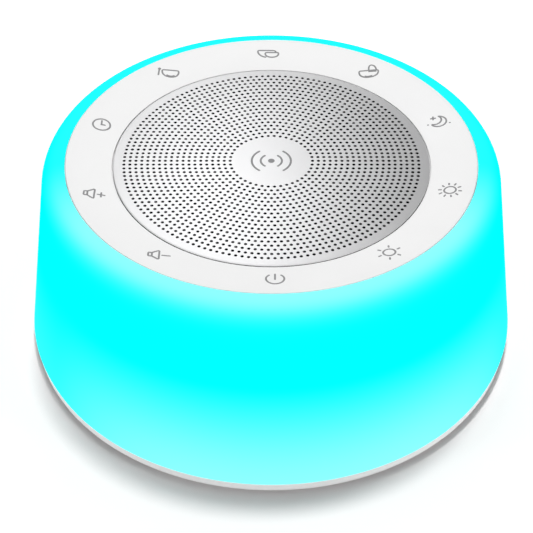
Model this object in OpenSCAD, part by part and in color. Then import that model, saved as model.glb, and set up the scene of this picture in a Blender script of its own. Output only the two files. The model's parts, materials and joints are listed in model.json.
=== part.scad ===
/* [Body] */
// Widest diameter of the body, just above its foot
body_d = 125; // [121:0.5:130]
// Height from the table to the top of the shoulder
body_h = 54.3; // [53.5:0.1:60]
// Radius of the rounded shoulder
shoulder_r = 6.5; // [5.5:0.1:8]
// Thickness of the diffuser's wall
diffuser_t = 2.2; // [1.6:0.1:2.6]
// Height of the tucked-in toe at the foot of the diffuser
toe_h = 1.1; // [0.6:0.1:2]
// How far the toe tucks in
toe_in = 0.3; // [0.1:0.1:0.6]
// How far the middle of the shoulder's arc lies inside the opening for the ring
shoulder_set = 0.5; // [0:0.1:0.8]
// Thickness of the lip that hangs from the shoulder round the touch ring
lip_t = 2; // [1.5:0.1:2.4]
// Width of the ledge inside the lip that carries the touch ring
lip_ledge_w = 1.4; // [0.8:0.1:1.6]
// Thickness of that ledge
lip_ledge_t = 2; // [1.2:0.1:2.4]

/* [Touch ring] */
// Diameter of the opening that the touch ring fills
ring_d = 101; // [97:0.5:103]
// Width of the ring, from its opening in the shoulder to the grille
ring_w = 11.65; // [10:0.05:12]
// How far the ring's outer edge lies below the shoulder
ring_sink = 0.3; // [0.2:0.1:0.8]
// Fall of the ring from its outer edge to its inner edge
ring_fall = 2.1; // [1.5:0.1:2.6]
// How far the ring's face bulges above a straight slope
ring_crown = 0.4; // [0:0.1:0.5]
// Thickness of the ring under the rim of the grille
ring_ledge_t = 1.1; // [0.8:0.1:1.6]
// Width of the ledge under the rim of the grille
ring_ledge_w = 1.65; // [1.2:0.05:2]
// Touch icons round the ring
icon_count = 10; // [6:2:14]
// Screw pillars under the ring
pillar_count = 5; // [3:1:7]
// Diameter of a screw pillar
pillar_d = 6; // [5:0.5:7]
// Length of a screw pillar
pillar_h = 3.9; // [3.6:0.1:4.6]

/* [Grille] */
// Thickness of the grille
grille_t = 0.6; // [0.5:0.1:1.4]
// How far the grille's face stands above the ring's inner edge
grille_proud = 0.1; // [0:0.1:0.6]
// Distance between rings of perforations on the real grille
hole_pitch = 1.445; // [1.4:0.005:1.6]
// Diameter of a perforation on the real grille
hole_d = 0.8; // [0.6:0.05:0.9]
// Perforations are drawn this many times coarser than they are, so there are fewer of them
hole_coarsening = 3; // [2:1:5]
// Diameter of the bare disc in the middle
bare_d = 19.2; // [15:0.1:24]
// Thickness of the dust cloth under the grille
cloth_t = 0.4; // [0.2:0.1:0.6]

/* [Base] */
// Thickness of the base pan's floor, which shows as a band
base_t = 2.2; // [2:0.1:3]
// How far the band stands inside the widest line
base_inset = 0.45; // [0.3:0.05:0.8]
// Height of the rim that locates the diffuser
rim_h = 4; // [3:0.1:5]
// Thickness of that rim
rim_t = 1.8; // [1.2:0.1:2.4]
// Diameter of a foot
foot_d = 12; // [9:0.5:14]
// How far the feet stand out of the base
foot_h = 1.2; // [0.8:0.1:2]
// Depth of the recess that a foot is glued into
foot_sink = 0.8; // [0.5:0.1:1]
// Distance from the edge of the base to a foot
foot_inset = 6.05; // [2:0.05:12]
// Number of feet
foot_count = 4; // [3:1:6]

/* [Inner frame] */
// Thickness of the frame's tube
frame_t = 2; // [1.5:0.1:2.4]
// Level of the frame's lower flange above the base floor
frame_lift = 8.6; // [8.4:0.1:9]
// Thickness of the frame's flanges, shelf and ears
flange_t = 2; // [1.6:0.1:2.4]
// Thickness of the foam seal on top of the frame
seal_t = 2.4; // [2:0.1:2.8]
// Distance from the frame's tube to a screw boss
boss_inset = 1.5; // [0.5:0.1:2]
// Number of base screws
base_screw_count = 4; // [3, 4, 6]
// Height of the frame's screw bosses
boss_h = 12; // [10:0.5:14]
// Diameter of the screw bosses
boss_d = 8; // [7:0.1:8.4]

/* [Speaker] */
// Distance from the frame's tube to the basket's rim
basket_inset = 2.85; // [1:0.05:4]
// Width of the half roll round the cone
roll_w = 3; // [2.6:0.1:3.2]
// Width of the lands glued to the cone and to the basket
land_w = 1.4; // [1.2:0.1:1.6]
// Thickness of the surround and the spider
suspension_t = 0.4; // [0.3:0.05:0.5]
// Thickness of the cone
cone_t = 0.5; // [0.4:0.05:0.7]
// Outer diameter of the voice coil's former
former_d = 19.5; // [18:0.1:20.5]
// Wall of the former
former_t = 0.2; // [0.15:0.05:0.3]
// Thickness of the winding on the former
winding_t = 0.6; // [0.4:0.05:0.8]
// Height of the winding
winding_h = 6; // [5:0.1:6.2]
// Radial air gap on each side of the voice coil
air_gap = 0.35; // [0.3:0.05:0.5]
// Travel of the cone each way
cone_travel = 1.2; // [0.8:0.1:1.4]
// Diameter of the magnet
magnet_d = 46; // [42:0.5:47]
// Thickness of the magnet
magnet_t = 6; // [5:0.1:8]
// Thickness of the top plate
plate_t = 2.5; // [2:0.1:3]
// Thickness of the yoke's back plate
yoke_t = 2.5; // [2:0.1:4]
// Depth from the shelf to the top plate
basket_depth = 13.5; // [12:0.1:15]
// Thickness of the basket's rim
basket_t = 1.2; // [1:0.1:1.4]
// Distance from the touch ring's underside to the speaker shelf
front_gap = 5.1; // [4.8:0.1:5.4]

/* [Boards] */
// Thickness of the main board and the touch board
board_t = 1.6; // [1.2:0.1:1.8]
// Thickness of the light board and the power board
thin_board_t = 1.2; // [1:0.1:1.4]
// Distance from the screw bosses to the edge of the main board
main_board_inset = 2; // [1:0.1:4]
// Height of the main board above the base floor
main_board_lift = 4; // [3.6:0.1:4.4]
// Distance from the base's rim to the light board
led_board_inset = 5.1; // [3:0.1:7]
// Width of the light board
led_board_w = 9.6; // [9:0.1:10]
// Height of the light board above the base floor
led_board_lift = 5; // [4.6:0.1:5.2]
// Number of lamps
led_count = 16; // [16:1:18]
// Angle left free of lamps at the rear
led_gap_angle = 40; // [34:1:44]
// Thickness of a touch electrode
electrode_t = 0.3; // [0.2:0.05:0.4]
// Diameter of a touch electrode
electrode_d = 7.2; // [6:0.1:8]

/* [Power inlet] */
// Width of the socket shell
socket_w = 8.94; // [8.9:0.01:9]
// Height of the socket shell
socket_h = 3.26; // [3.2:0.01:3.3]
// Depth of the socket
socket_depth = 7.35; // [7:0.05:8]
// Wall of the socket shell
socket_t = 0.3; // [0.2:0.05:0.35]
// Width of the block round the socket
port_w = 19; // [18.6:0.1:21]
// Height of the power board above the base floor
power_board_lift = 1.8; // [1.6:0.1:2.4]

/* [Fits] */
// Radial gap of a piece that drops into another
fit_gap = 0.15; // [0.1:0.05:0.25]
// Gap round the touch ring
ring_gap = 0.35; // [0.2:0.05:0.45]
// Gap round the grille
grille_gap = 0.2; // [0.2:0.05:0.4]
// Radial gap of a screw in its pilot hole
pilot_gap = 0.05; // [0.03:0.01:0.08]
// Radial gap of a screw in a clearance hole
clearance_gap = 0.2; // [0.1:0.05:0.3]
// Gap that keeps neighbouring pieces apart
room = 0.6; // [0.4:0.1:0.7]
// Gap between a lead and the face that it is soldered or crimped to
lead_gap = 0.15; // [0.1:0.05:0.2]

/* [Hidden] */
$fn = 96;

// Straight steps along an arc of an outline
arc_steps = 16;
// How far a cutting tool runs past the face that it cuts, or a rib sinks into its wall
over = 0.5;
// Directions of the leads: front, lights, rear and touch cable
front_angle = 270;
lights_angle = 0;
rear_angle = 90;
touch_angle = 180;

// Radii
body_r = body_d / 2;
ring_r = ring_d / 2;
grille_r = ring_r - ring_w;
base_r = body_r - base_inset;
// Inner edge of the ledge under the grille
ledge_r = grille_r - ring_ledge_w;
frame_in_r = ledge_r;
frame_r = frame_in_r + frame_t;
// Middle of the touch ring: icons, electrodes and screw pillars
ring_mid_r = (grille_r + ring_r) / 2;
boss_r = boss_d / 2;
base_screw_r = frame_in_r - boss_inset - boss_r;

// Levels above the table
z_floor = foot_h + base_t;
z_toe = z_floor + toe_h;
z_ring_edge = body_h - ring_sink;
z_ring_inner = z_ring_edge - ring_fall;
z_seat = z_ring_inner + grille_proud - grille_t;
z_ring_under = z_seat - ring_ledge_t;
z_frame = z_floor + frame_lift;
z_frame_top = z_ring_under - seal_t;
z_ear = z_ring_under - pillar_h;
z_shelf = z_ring_under - front_gap;
z_rim = z_shelf + basket_t;
z_plate = z_shelf - basket_depth;
z_magnet = z_plate - plate_t;
z_yoke = z_magnet - magnet_t;
z_main_board = z_floor + main_board_lift + board_t;
z_led_board = z_floor + led_board_lift + thin_board_t;
z_power_board = z_floor + power_board_lift + thin_board_t;
z_socket = z_power_board + socket_h / 2;
z_touch_board = z_ring_under - electrode_t - board_t;

// Screws: shank diameter, head diameter and head height
big_shank_d = 3;
big_head_d = 5.6;
big_head_h = 2;
big_screw = [big_shank_d, big_head_d, big_head_h];
ring_shank_d = 2.2;
ring_head_d = 4;
ring_head_h = 1.4;
ring_screw = [ring_shank_d, ring_head_d, ring_head_h];
board_shank_d = 1.8;
board_head_d = 3.4;
board_head_h = 1.2;
board_screw = [board_shank_d, board_head_d, board_head_h];
// Depth of thread beyond the piece that a screw holds down
big_bite = 8;
ring_bite = 3.4;
board_bite = 2.4;
// Blind end left under a screw's tip
pilot_spare = 0.6;
recess_w = 0.7;
recess_depth = 0.8;

// Shoulder: an arc about shoulder_c that meets the leaning wall as a tangent from the toe
shoulder_c = [ring_r - shoulder_set, body_h - sqrt(pow(shoulder_r, 2) - pow(shoulder_set, 2))];
toe_p = [body_r, z_toe];
toe_v = toe_p - shoulder_c;
wall_lean = atan2(toe_v[1], toe_v[0]) + acos(shoulder_r / norm(toe_v));
shoulder_in_r = shoulder_r - diffuser_t;
// Angle at which the inner arc meets the outside of the lip
lip_angle = acos((lip_t + shoulder_set) / shoulder_in_r);
// Angle at which the shoulder ends at the opening
opening_angle = acos(shoulder_set / shoulder_r);
z_lip = z_ring_under - lip_ledge_t;

// Base details
base_edge = 0.2;
foot_edge = 0.5;
foot_circle_r = base_r - foot_inset - foot_d / 2;
rim_r = wall_in_r(z_floor + rim_h) - fit_gap;
base_screw_angle = 45;
head_seat_h = 2.4;
post_d = 4.4;
main_board_r = base_screw_r - boss_r - main_board_inset;
main_post_inset = 5;
main_post_circle_r = main_board_r - main_post_inset;
main_post_count = 4;

// Speaker details
basket_r = frame_in_r - basket_inset;
rim_screw_r = basket_r - ring_head_d / 2 - room;
surround_r = rim_screw_r - ring_head_d / 2 - fit_gap;
cone_r = surround_r - land_w - roll_w;
roll_r = cone_r + roll_w / 2;
basket_in_r = cone_r + roll_w - suspension_t;
basket_wall_t = 1.6;
shelf_in_r = basket_in_r + basket_wall_t + room;
rim_screw_count = 4;
shelf_boss_d = 5.2;
former_r = former_d / 2;
winding_r = former_r + winding_t;
pole_r = former_r - former_t - air_gap;
plate_in_r = winding_r + air_gap;
plate_r = 21;
magnet_gap = 1.2;
seat_ring_w = 4;
seat_ring_h = 2.2;
seat_ring_in_r = plate_r - seat_ring_w + fit_gap;
z_spider = z_plate + seat_ring_h + suspension_t / 2;
winding_mid = z_magnet + plate_t / 2;
// The neck of the cone clears the spider's waves even at the end of its travel
wave_h = 0.5;
wave_count = 4;
wave_steps = 48;
z_neck = z_spider + wave_h + suspension_t / 2 + cone_travel;
neck_h = 1;
former_skirt = 1.5;
cap_r = 11.5;
cap_rise = 3.4;
cap_t = 0.4;
window_count = 4;
window_angle = 60;
window_bottom = 3.4;
window_top = 2;
terminal_w = 9;
terminal_depth = 5;
terminal_h = 4;
lead_d = 1.4;
led_lead_d = 1;
lead_spread = 3.6;
led_lead_spread = 1.6;

// Board details
led_size = 5;
led_h = 1.6;
led_step_angle = (360 - led_gap_angle) / led_count;
led_first_angle = rear_angle + led_gap_angle / 2 + led_step_angle / 2;
led_screw_slots = [0, 3, 6, 8, 11, 14];
led_screw_angles = [for (i = led_screw_slots) led_first_angle + (i + 0.5) * led_step_angle];
led_circle_r = rim_r - rim_t - led_board_inset - led_board_w / 2;
led_board_in_r = led_circle_r - led_board_w / 2;
// Headers on the main board, one for each lead
header_depth = 4.5;
header_w = 8;
header_h = 3.4;
header_r = main_board_r - header_depth - room;
z_header_wire = z_main_board + header_h / 2;
z_header_top = z_main_board + header_h;
// Where a lead ends, just outside a header
header_face_r = header_r + header_depth + lead_gap;
// Chips on the main board: centre, then width, depth and height
main_chips = [
    [0, 3, 10, 10, 1.4],
    [-10.5, 4.5, 5.2, 5.2, 1.7],
    [10.5, 4.5, 5, 3.2, 1],
    [-1, -8, 5, 4, 1.5]
];
// Capacitors on the main board: centre, diameter and height
main_cans = [[6, -6.5, 6.3, 4.2], [-8, -7, 5, 4.2]];
touch_chip_depth = 4;
touch_chip_w = 10;
touch_chip_h = 1.6;
touch_chip_angle = 108;
touch_header_depth = 4;
touch_header_w = 8;
touch_header_h = 2;
ribbon_w = 6;
ribbon_t = 0.6;

// Power inlet details
port_wall = 2.2;
port_sink = 0.2;
port_pocket = 6;
mouth_in = 0.6;
z_port_top = z_socket + socket_h / 2 + port_wall;
port_in_y = wall_out_r(z_socket) - port_sink - port_wall;
mouth_y = wall_out_r(z_socket) - port_sink - mouth_in;
power_board_w = 15;
power_board_y = port_in_y - fit_gap;
power_post_x = 5;
power_post_inset = 5.8;
power_post_y = mouth_y - socket_depth - power_post_inset;
power_board_in_y = power_post_y - post_d;
tongue_w = 6.69;
tongue_depth = 4.45;
tongue_t = 0.7;
socket_back = 1;

// Routes of the leads, outwards from the axis and up, each in its own upright plane
speaker_route = [
    [plate_r + 4.6, z_plate + window_bottom - lead_gap],
    [plate_r + 4.6, z_plate],
    [plate_r + 4.6, z_header_top + 6],
    [plate_r + 3.4, z_header_top + 2.6],
    [header_r + header_depth / 2 + 0.3, z_header_top + 1.1],
    [header_r + header_depth / 2, z_header_top + lead_gap]
];
led_route = [
    [led_board_in_r + 1.6, z_led_board + led_lead_d / 2 + lead_gap],
    [led_board_in_r, z_led_board + led_lead_d / 2 + lead_gap],
    [led_board_in_r - 7, z_header_wire],
    [header_face_r + 4, z_header_wire],
    [header_face_r + 1.2, z_header_wire],
    [header_face_r, z_header_wire]
];
power_route = [
    [power_board_in_y + 3, z_power_board + lead_d / 2 + lead_gap],
    [power_board_in_y + 1, z_power_board + lead_d / 2 + lead_gap],
    [power_board_in_y - 5.6, z_power_board + 2.2],
    [header_face_r + 7, z_header_wire - 0.4],
    [header_face_r + 3, z_header_wire],
    [header_face_r + 1.2, z_header_wire],
    [header_face_r, z_header_wire]
];
touch_route = [
    [ring_mid_r - touch_header_depth / 2 - lead_gap, z_touch_board - touch_header_h / 2],
    [frame_r + 2, z_touch_board - 1.4],
    [frame_r + 1.3, z_touch_board - 3],
    [frame_r + 1.2, z_touch_board - 10],
    [frame_r + 1.2, z_frame + 4],
    [frame_r + 0.8, z_frame + 0.5],
    [frame_r - 1, z_header_wire + 0.2],
    [frame_in_r - 3, z_header_wire],
    [header_face_r + 1.2, z_header_wire],
    [header_face_r, z_header_wire]
];
lead_sides = 8;
route_steps = 4;

// Outlines and curves
function wall_in_r(z) =
    shoulder_c[0] + shoulder_in_r * cos(wall_lean)
    + (shoulder_c[1] + shoulder_in_r * sin(wall_lean) - z) * tan(wall_lean);
function wall_out_r(z) = wall_in_r(z) + diffuser_t / cos(wall_lean);
function arc(c, r, a0, a1) =
    [for (i = [0 : arc_steps])
        let (a = a0 + (a1 - a0) * i / arc_steps)
        c + r * [cos(a), sin(a)]];
function around(count, first = 0) = [for (i = [0 : count - 1]) first + 360 * i / count];
function reversed(list) = [for (i = [len(list) - 1 : -1 : 0]) list[i]];

// A smooth curve through the points of a route: Catmull-Rom, straight at both ends
function clamped(p, i) =
    i < 0 ? 2 * p[0] - p[1] :
    i > len(p) - 1 ? 2 * p[len(p) - 1] - p[len(p) - 2] :
    p[i];
function curve_at(a, b, c, d, t) =
    0.5 * (2 * b + (c - a) * t + (2 * a - 5 * b + 4 * c - d) * t * t + (3 * b - a - 3 * c + d) * t * t * t);
function smooth(p) = concat(
    [for (i = [0 : len(p) - 2]) for (k = [0 : route_steps - 1])
        curve_at(clamped(p, i - 1), p[i], p[i + 1], clamped(p, i + 2), k / route_steps)],
    [p[len(p) - 1]]);
function heading(p, i) =
    let (v = p[min(i + 1, len(p) - 1)] - p[max(i - 1, 0)])
    v / norm(v);
function beside(p, i, gap) = p[i] + gap * [-heading(p, i)[1], heading(p, i)[0]];

module at_angles(r, angles) {
    for (a = angles)
        rotate(a) translate([r, 0, 0]) children();
}

module lathe(points) {
    rotate_extrude() polygon(points);
}

module washer(r, r_in, h) {
    difference() {
        cylinder(r = r, h = h);
        translate([0, 0, -over]) cylinder(r = r_in, h = h + 2 * over);
    }
}

// A box centred in X and Y that stands on z = 0
module block(w, d, h) {
    translate([-w / 2, -d / 2, 0]) cube([w, d, h]);
}

// A pan-head screw with a cross recess, head up, its head seated on z = 0
module screw(size, length) {
    difference() {
        union() {
            cylinder(d = size[1], h = size[2]);
            translate([0, 0, -length]) cylinder(d = size[0], h = length + over);
        }
        for (a = [0, 90])
            rotate(a) translate([0, 0, size[2] - recess_depth])
                block(size[1] * 0.6, recess_w, recess_depth + over);
    }
}

// The hole that a screw bites into, downwards from z = 0
module pilot_hole(size, depth) {
    translate([0, 0, -depth - pilot_spare])
        cylinder(d = size[0] + 2 * pilot_gap, h = depth + pilot_spare + over);
}

// The hole that a screw passes, through a piece that stands on z = 0
module clearance_hole(size, h) {
    translate([0, 0, -over]) cylinder(d = size[0] + 2 * clearance_gap, h = h + 2 * over);
}

// A flat outline with round ends, w wide and h high
module stadium(w, h) {
    r = h / 2;
    polygon(concat(arc([w / 2 - r, 0], r, -90, 90), arc([r - w / 2, 0], r, 90, 270)));
}

// A round lead swept along a route in the XZ plane
module lead(route, d) {
    p = smooth(route);
    n = len(p);
    rings = [for (i = [0 : n - 1]) for (s = [0 : lead_sides - 1])
        let (a = 360 * s / lead_sides, q = beside(p, i, d / 2 * cos(a))) [q[0], d / 2 * sin(a), q[1]]];
    sides = [for (i = [0 : n - 2]) for (s = [0 : lead_sides - 1])
        let (a = i * lead_sides + s, b = i * lead_sides + (s + 1) % lead_sides)
        each [[a, b, a + lead_sides], [b, b + lead_sides, a + lead_sides]]];
    ends = [
        [for (s = [lead_sides - 1 : -1 : 0]) s],
        [for (s = [0 : lead_sides - 1]) (n - 1) * lead_sides + s]
    ];
    polyhedron(points = rings, faces = concat(sides, ends));
}

// A row of equal leads side by side, pointing outwards at one angle
module lead_row(route, d, count, spread, a) {
    rotate(a)
        for (i = [0 : count - 1])
            translate([0, (i - (count - 1) / 2) * spread, 0]) lead(route, d);
}

// A flat cable along a route in the XZ plane
module ribbon(route, w, t) {
    p = smooth(route);
    left = [for (i = [0 : len(p) - 1]) beside(p, i, t / 2)];
    right = [for (i = [0 : len(p) - 1]) beside(p, i, -t / 2)];
    rotate([90, 0, 0]) translate([0, 0, -w / 2]) linear_extrude(w) polygon(concat(left, reversed(right)));
}

// The solid that the body's outside encloses up to the top of the port, drawn in by inset
module foot_envelope(inset) {
    lathe([
        [0, z_floor - over],
        [body_r - toe_in - inset, z_floor - over],
        [body_r - toe_in - inset, z_floor],
        [body_r - inset, z_toe],
        [wall_out_r(z_port_top) - inset, z_port_top],
        [0, z_port_top]
    ]);
}

// A box at the rear, from y_in outwards, through the wall
module rear_box(w, y_in, z, h) {
    translate([-w / 2, y_in, z]) cube([w, body_r + over - y_in, h]);
}

module base_pan() {
    color("#d8d9da")
    difference() {
        union() {
            lathe([
                [0, foot_h],
                [base_r - base_edge, foot_h],
                [base_r, foot_h + base_edge],
                [base_r, z_floor],
                [0, z_floor]
            ]);
            translate([0, 0, z_floor - over]) washer(rim_r, rim_r - rim_t, rim_h + over);
            at_angles(base_screw_r, around(base_screw_count, base_screw_angle))
                translate([0, 0, z_floor - over]) cylinder(r = boss_r, h = frame_lift + over);
            at_angles(main_post_circle_r, around(main_post_count, base_screw_angle))
                translate([0, 0, z_floor - over]) cylinder(d = post_d, h = main_board_lift + over);
            at_angles(led_circle_r, led_screw_angles)
                translate([0, 0, z_floor - over]) cylinder(d = post_d, h = led_board_lift + over);
            for (x = [-power_post_x, power_post_x])
                translate([x, power_post_y, z_floor - over])
                    cylinder(d = post_d, h = power_board_lift + over);
            intersection() {
                foot_envelope(port_sink);
                rear_box(port_w, rim_r - rim_t, z_floor - over, z_port_top);
            }
        }
        // Pocket for the power board and slot for the socket
        translate([-power_board_w / 2 - fit_gap, port_in_y - port_pocket, z_floor])
            cube([power_board_w + 2 * fit_gap, port_pocket, z_port_top]);
        translate([0, body_r + over, z_socket]) rotate([90, 0, 0])
            linear_extrude(socket_depth) stadium(socket_w + 2 * fit_gap, socket_h + 2 * fit_gap);
        at_angles(foot_circle_r, around(foot_count, base_screw_angle))
            translate([0, 0, foot_h - over]) cylinder(d = foot_d + 2 * fit_gap, h = foot_sink + over);
        at_angles(base_screw_r, around(base_screw_count, base_screw_angle)) {
            translate([0, 0, foot_h - over])
                cylinder(d = big_screw[1] + 2 * clearance_gap, h = base_t + head_seat_h + over);
            translate([0, 0, z_floor]) clearance_hole(big_screw, frame_lift);
        }
        at_angles(main_post_circle_r, around(main_post_count, base_screw_angle))
            translate([0, 0, z_floor + main_board_lift]) pilot_hole(board_screw, board_bite);
        at_angles(led_circle_r, led_screw_angles)
            translate([0, 0, z_floor + led_board_lift]) pilot_hole(board_screw, board_bite);
        for (x = [-power_post_x, power_post_x])
            translate([x, power_post_y, z_floor + power_board_lift]) pilot_hole(board_screw, board_bite);
    }
}

module rubber_feet() {
    r = foot_d / 2;
    color("#3a3b3d")
    at_angles(foot_circle_r, around(foot_count, base_screw_angle))
        lathe([
            [0, 0],
            [r - foot_edge, 0],
            [r, foot_edge],
            [r, foot_h + foot_sink],
            [0, foot_h + foot_sink]
        ]);
}

module base_screws() {
    color("#8d9094")
    at_angles(base_screw_r, around(base_screw_count, base_screw_angle))
        translate([0, 0, z_floor + head_seat_h]) rotate([180, 0, 0])
            screw(big_screw, frame_lift - head_seat_h + big_bite);
}

module diffuser_shell() {
    color("#00ffff")
    difference() {
        lathe(concat(
            [[body_r - toe_in, z_floor], toe_p],
            arc(shoulder_c, shoulder_r, wall_lean, opening_angle),
            [
                [ring_r, z_ring_under],
                [ring_r - lip_ledge_w, z_ring_under],
                [ring_r - lip_ledge_w, z_lip],
                [ring_r + lip_t, z_lip]
            ],
            arc(shoulder_c, shoulder_in_r, lip_angle, wall_lean),
            [[wall_in_r(z_floor), z_floor]]
        ));
        // Notch for the block round the power socket
        rear_box(port_w + 2 * fit_gap, rim_r - rim_t, z_floor - over, z_port_top + fit_gap + over - z_floor);
    }
}

// Points of the ring's face, from its outer edge to its inner edge: a slope plus a bulge that is
// highest half-way and fades to nothing at both edges
ring_face_steps = 8;
function ring_face() = [
    for (i = [0 : ring_face_steps])
        let (t = i / ring_face_steps)
        [
            (1 - t) * (ring_r - ring_gap) + t * (grille_r + grille_gap),
            z_ring_edge - t * ring_fall + 4 * ring_crown * t * (1 - t)
        ]
];

module touch_ring() {
    color("#f6f6f6")
    difference() {
        union() {
            lathe([
                [ledge_r, z_ring_under],
                [ring_r - ring_gap, z_ring_under],
                each ring_face(),
                [grille_r + grille_gap, z_seat],
                [ledge_r, z_seat]
            ]);
            at_angles(ring_mid_r, pillar_angles())
                translate([0, 0, z_ear]) cylinder(d = pillar_d, h = pillar_h + over);
        }
        at_angles(ring_mid_r, pillar_angles())
            translate([0, 0, z_ear]) rotate([180, 0, 0]) pilot_hole(ring_screw, ring_bite);
    }
}

function icon_angles() = around(icon_count, front_angle);
// Pillars stand half-way between two icons
function pillar_angles() = around(pillar_count, front_angle + 180 / icon_count);

// Rings of round holes, 6k holes in the ring of radius k pitches, thinned by the coarsening
module speaker_grille() {
    drawn_d = hole_d * hole_coarsening;
    margin = hole_d / 4;
    first_ring = ceil((bare_d + drawn_d) / 2 / hole_pitch);
    last_ring = floor((ledge_r - drawn_d / 2 - margin) / hole_pitch);
    color("#d9dadb")
    translate([0, 0, z_seat]) linear_extrude(grille_t)
        difference() {
            circle(r = grille_r);
            for (k = [last_ring : -hole_coarsening : first_ring])
                at_angles(k * hole_pitch, around(round(6 * k / hole_coarsening))) circle(d = drawn_d);
        }
}

module grille_cloth() {
    color("#17181a")
    translate([0, 0, z_seat - cloth_t]) cylinder(r = ledge_r - fit_gap, h = cloth_t);
}

module inner_frame() {
    color("#f0f0ee")
    difference() {
        union() {
            translate([0, 0, z_frame]) washer(frame_r, frame_in_r, z_frame_top - z_frame);
            translate([0, 0, z_frame])
                washer(frame_in_r + over, base_screw_r - boss_r - over, flange_t);
            translate([0, 0, z_shelf - flange_t]) washer(frame_in_r + over, shelf_in_r, flange_t);
            at_angles(base_screw_r, around(base_screw_count, base_screw_angle))
                translate([0, 0, z_frame]) cylinder(r = boss_r, h = boss_h);
            at_angles(rim_screw_r, around(rim_screw_count, base_screw_angle))
                translate([0, 0, z_shelf - flange_t - ring_bite])
                    cylinder(d = shelf_boss_d, h = ring_bite + over);
            at_angles(ring_mid_r, pillar_angles())
                translate([0, 0, z_ear - flange_t]) {
                    cylinder(d = pillar_d + flange_t, h = flange_t);
                    translate([(frame_r - over - ring_mid_r) / 2, 0, 0])
                        block(ring_mid_r - frame_r + over, pillar_d + flange_t, flange_t);
                }
        }
        // Room for the basket beside the screw bosses
        translate([0, 0, z_shelf - flange_t - ring_bite - over])
            cylinder(r = shelf_in_r, h = ring_bite + flange_t + 2 * over);
        at_angles(base_screw_r, around(base_screw_count, base_screw_angle))
            translate([0, 0, z_frame]) rotate([180, 0, 0]) pilot_hole(big_screw, big_bite);
        at_angles(rim_screw_r, around(rim_screw_count, base_screw_angle))
            translate([0, 0, z_shelf]) pilot_hole(ring_screw, ring_bite);
        at_angles(ring_mid_r, pillar_angles())
            translate([0, 0, z_ear - flange_t]) clearance_hole(ring_screw, flange_t);
    }
}

module front_seal() {
    color("#2c2d30")
    translate([0, 0, z_frame_top]) washer(frame_r, frame_in_r, seal_t);
}

module ring_screws() {
    color("#8d9094")
    at_angles(ring_mid_r, pillar_angles())
        translate([0, 0, z_ear - flange_t]) rotate([180, 0, 0]) screw(ring_screw, flange_t + ring_bite);
}

module touch_board() {
    color("#1f6b3a")
    translate([0, 0, z_touch_board])
        difference() {
            washer(ring_r - lip_ledge_w - room / 2, frame_r + room, board_t);
            at_angles(ring_mid_r, pillar_angles())
                translate([0, 0, -over]) cylinder(d = pillar_d + 2 * clearance_gap, h = board_t + 2 * over);
        }
}

module touch_electrodes() {
    color("#c98a4b")
    at_angles(ring_mid_r, icon_angles())
        translate([0, 0, z_ring_under - electrode_t]) cylinder(d = electrode_d, h = electrode_t);
}

// The touch chip and the cable header hang under the board
module touch_board_parts() {
    color("#26272a") {
        at_angles(ring_mid_r, [touch_chip_angle])
            translate([0, 0, z_touch_board - touch_chip_h])
                block(touch_chip_depth, touch_chip_w, touch_chip_h);
        at_angles(ring_mid_r, [touch_angle])
            translate([0, 0, z_touch_board - touch_header_h])
                block(touch_header_depth, touch_header_w, touch_header_h);
    }
}

module touch_cable() {
    color("#cfd3d8")
    rotate(touch_angle) ribbon(touch_route, ribbon_w, ribbon_t);
}

// Outside of the basket's cone: foot and top, outwards and up
basket_foot = [plate_r + fit_gap, z_plate + seat_ring_h - over];
basket_top = [basket_in_r + basket_wall_t, z_shelf];

module speaker_basket() {
    color("#3d4043")
    difference() {
        lathe([
            [seat_ring_in_r, z_plate],
            [basket_foot[0], z_plate],
            basket_foot,
            basket_top,
            [basket_r, z_shelf],
            [basket_r, z_rim],
            [basket_in_r, z_rim],
            [basket_in_r, z_shelf],
            [basket_foot[0] - basket_wall_t, z_plate + seat_ring_h],
            [seat_ring_in_r, z_plate + seat_ring_h]
        ]);
        for (a = around(window_count, base_screw_angle))
            rotate(a - window_angle / 2) rotate_extrude(angle = window_angle)
                translate([seat_ring_in_r, z_plate + window_bottom])
                    square([basket_r, basket_depth - window_bottom - window_top]);
        at_angles(rim_screw_r, around(rim_screw_count, base_screw_angle))
            translate([0, 0, z_shelf]) clearance_hole(ring_screw, basket_t);
    }
}

module top_plate() {
    color("#9aa0a5")
    translate([0, 0, z_magnet]) washer(plate_r, plate_in_r, plate_t);
}

module magnet() {
    color("#2a2b2d")
    translate([0, 0, z_yoke]) washer(magnet_d / 2, plate_in_r + magnet_gap, magnet_t);
}

module pole_yoke() {
    color("#9aa0a5")
    translate([0, 0, z_yoke - yoke_t]) {
        cylinder(r = plate_r, h = yoke_t);
        cylinder(r = pole_r, h = yoke_t + magnet_t + plate_t);
    }
}

// Upper face of the cone at radius r
function cone_z(r) =
    z_neck + neck_h + (r - former_r) * (z_rim - z_neck - neck_h) / (cone_r - land_w - former_r);

module cone() {
    color("#3b3a3a")
    lathe([
        [former_r, z_neck],
        [cone_r - land_w + neck_h / 2, z_rim - cone_t],
        [cone_r, z_rim - cone_t],
        [cone_r, z_rim],
        [cone_r - land_w, z_rim],
        [former_r, z_neck + neck_h]
    ]);
}

module dust_cap() {
    edge = cone_z(cap_r);
    dome_r = (cap_r * cap_r + cap_rise * cap_rise) / 2 / cap_rise;
    dome_c = [0, edge + cap_rise - dome_r];
    edge_angle = asin((dome_r - cap_rise) / dome_r);
    inner_angle = asin((dome_r - cap_rise) / (dome_r - cap_t));
    color("#242527")
    lathe(concat(arc(dome_c, dome_r, edge_angle, 90), arc(dome_c, dome_r - cap_t, 90, inner_angle)));
}

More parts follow.
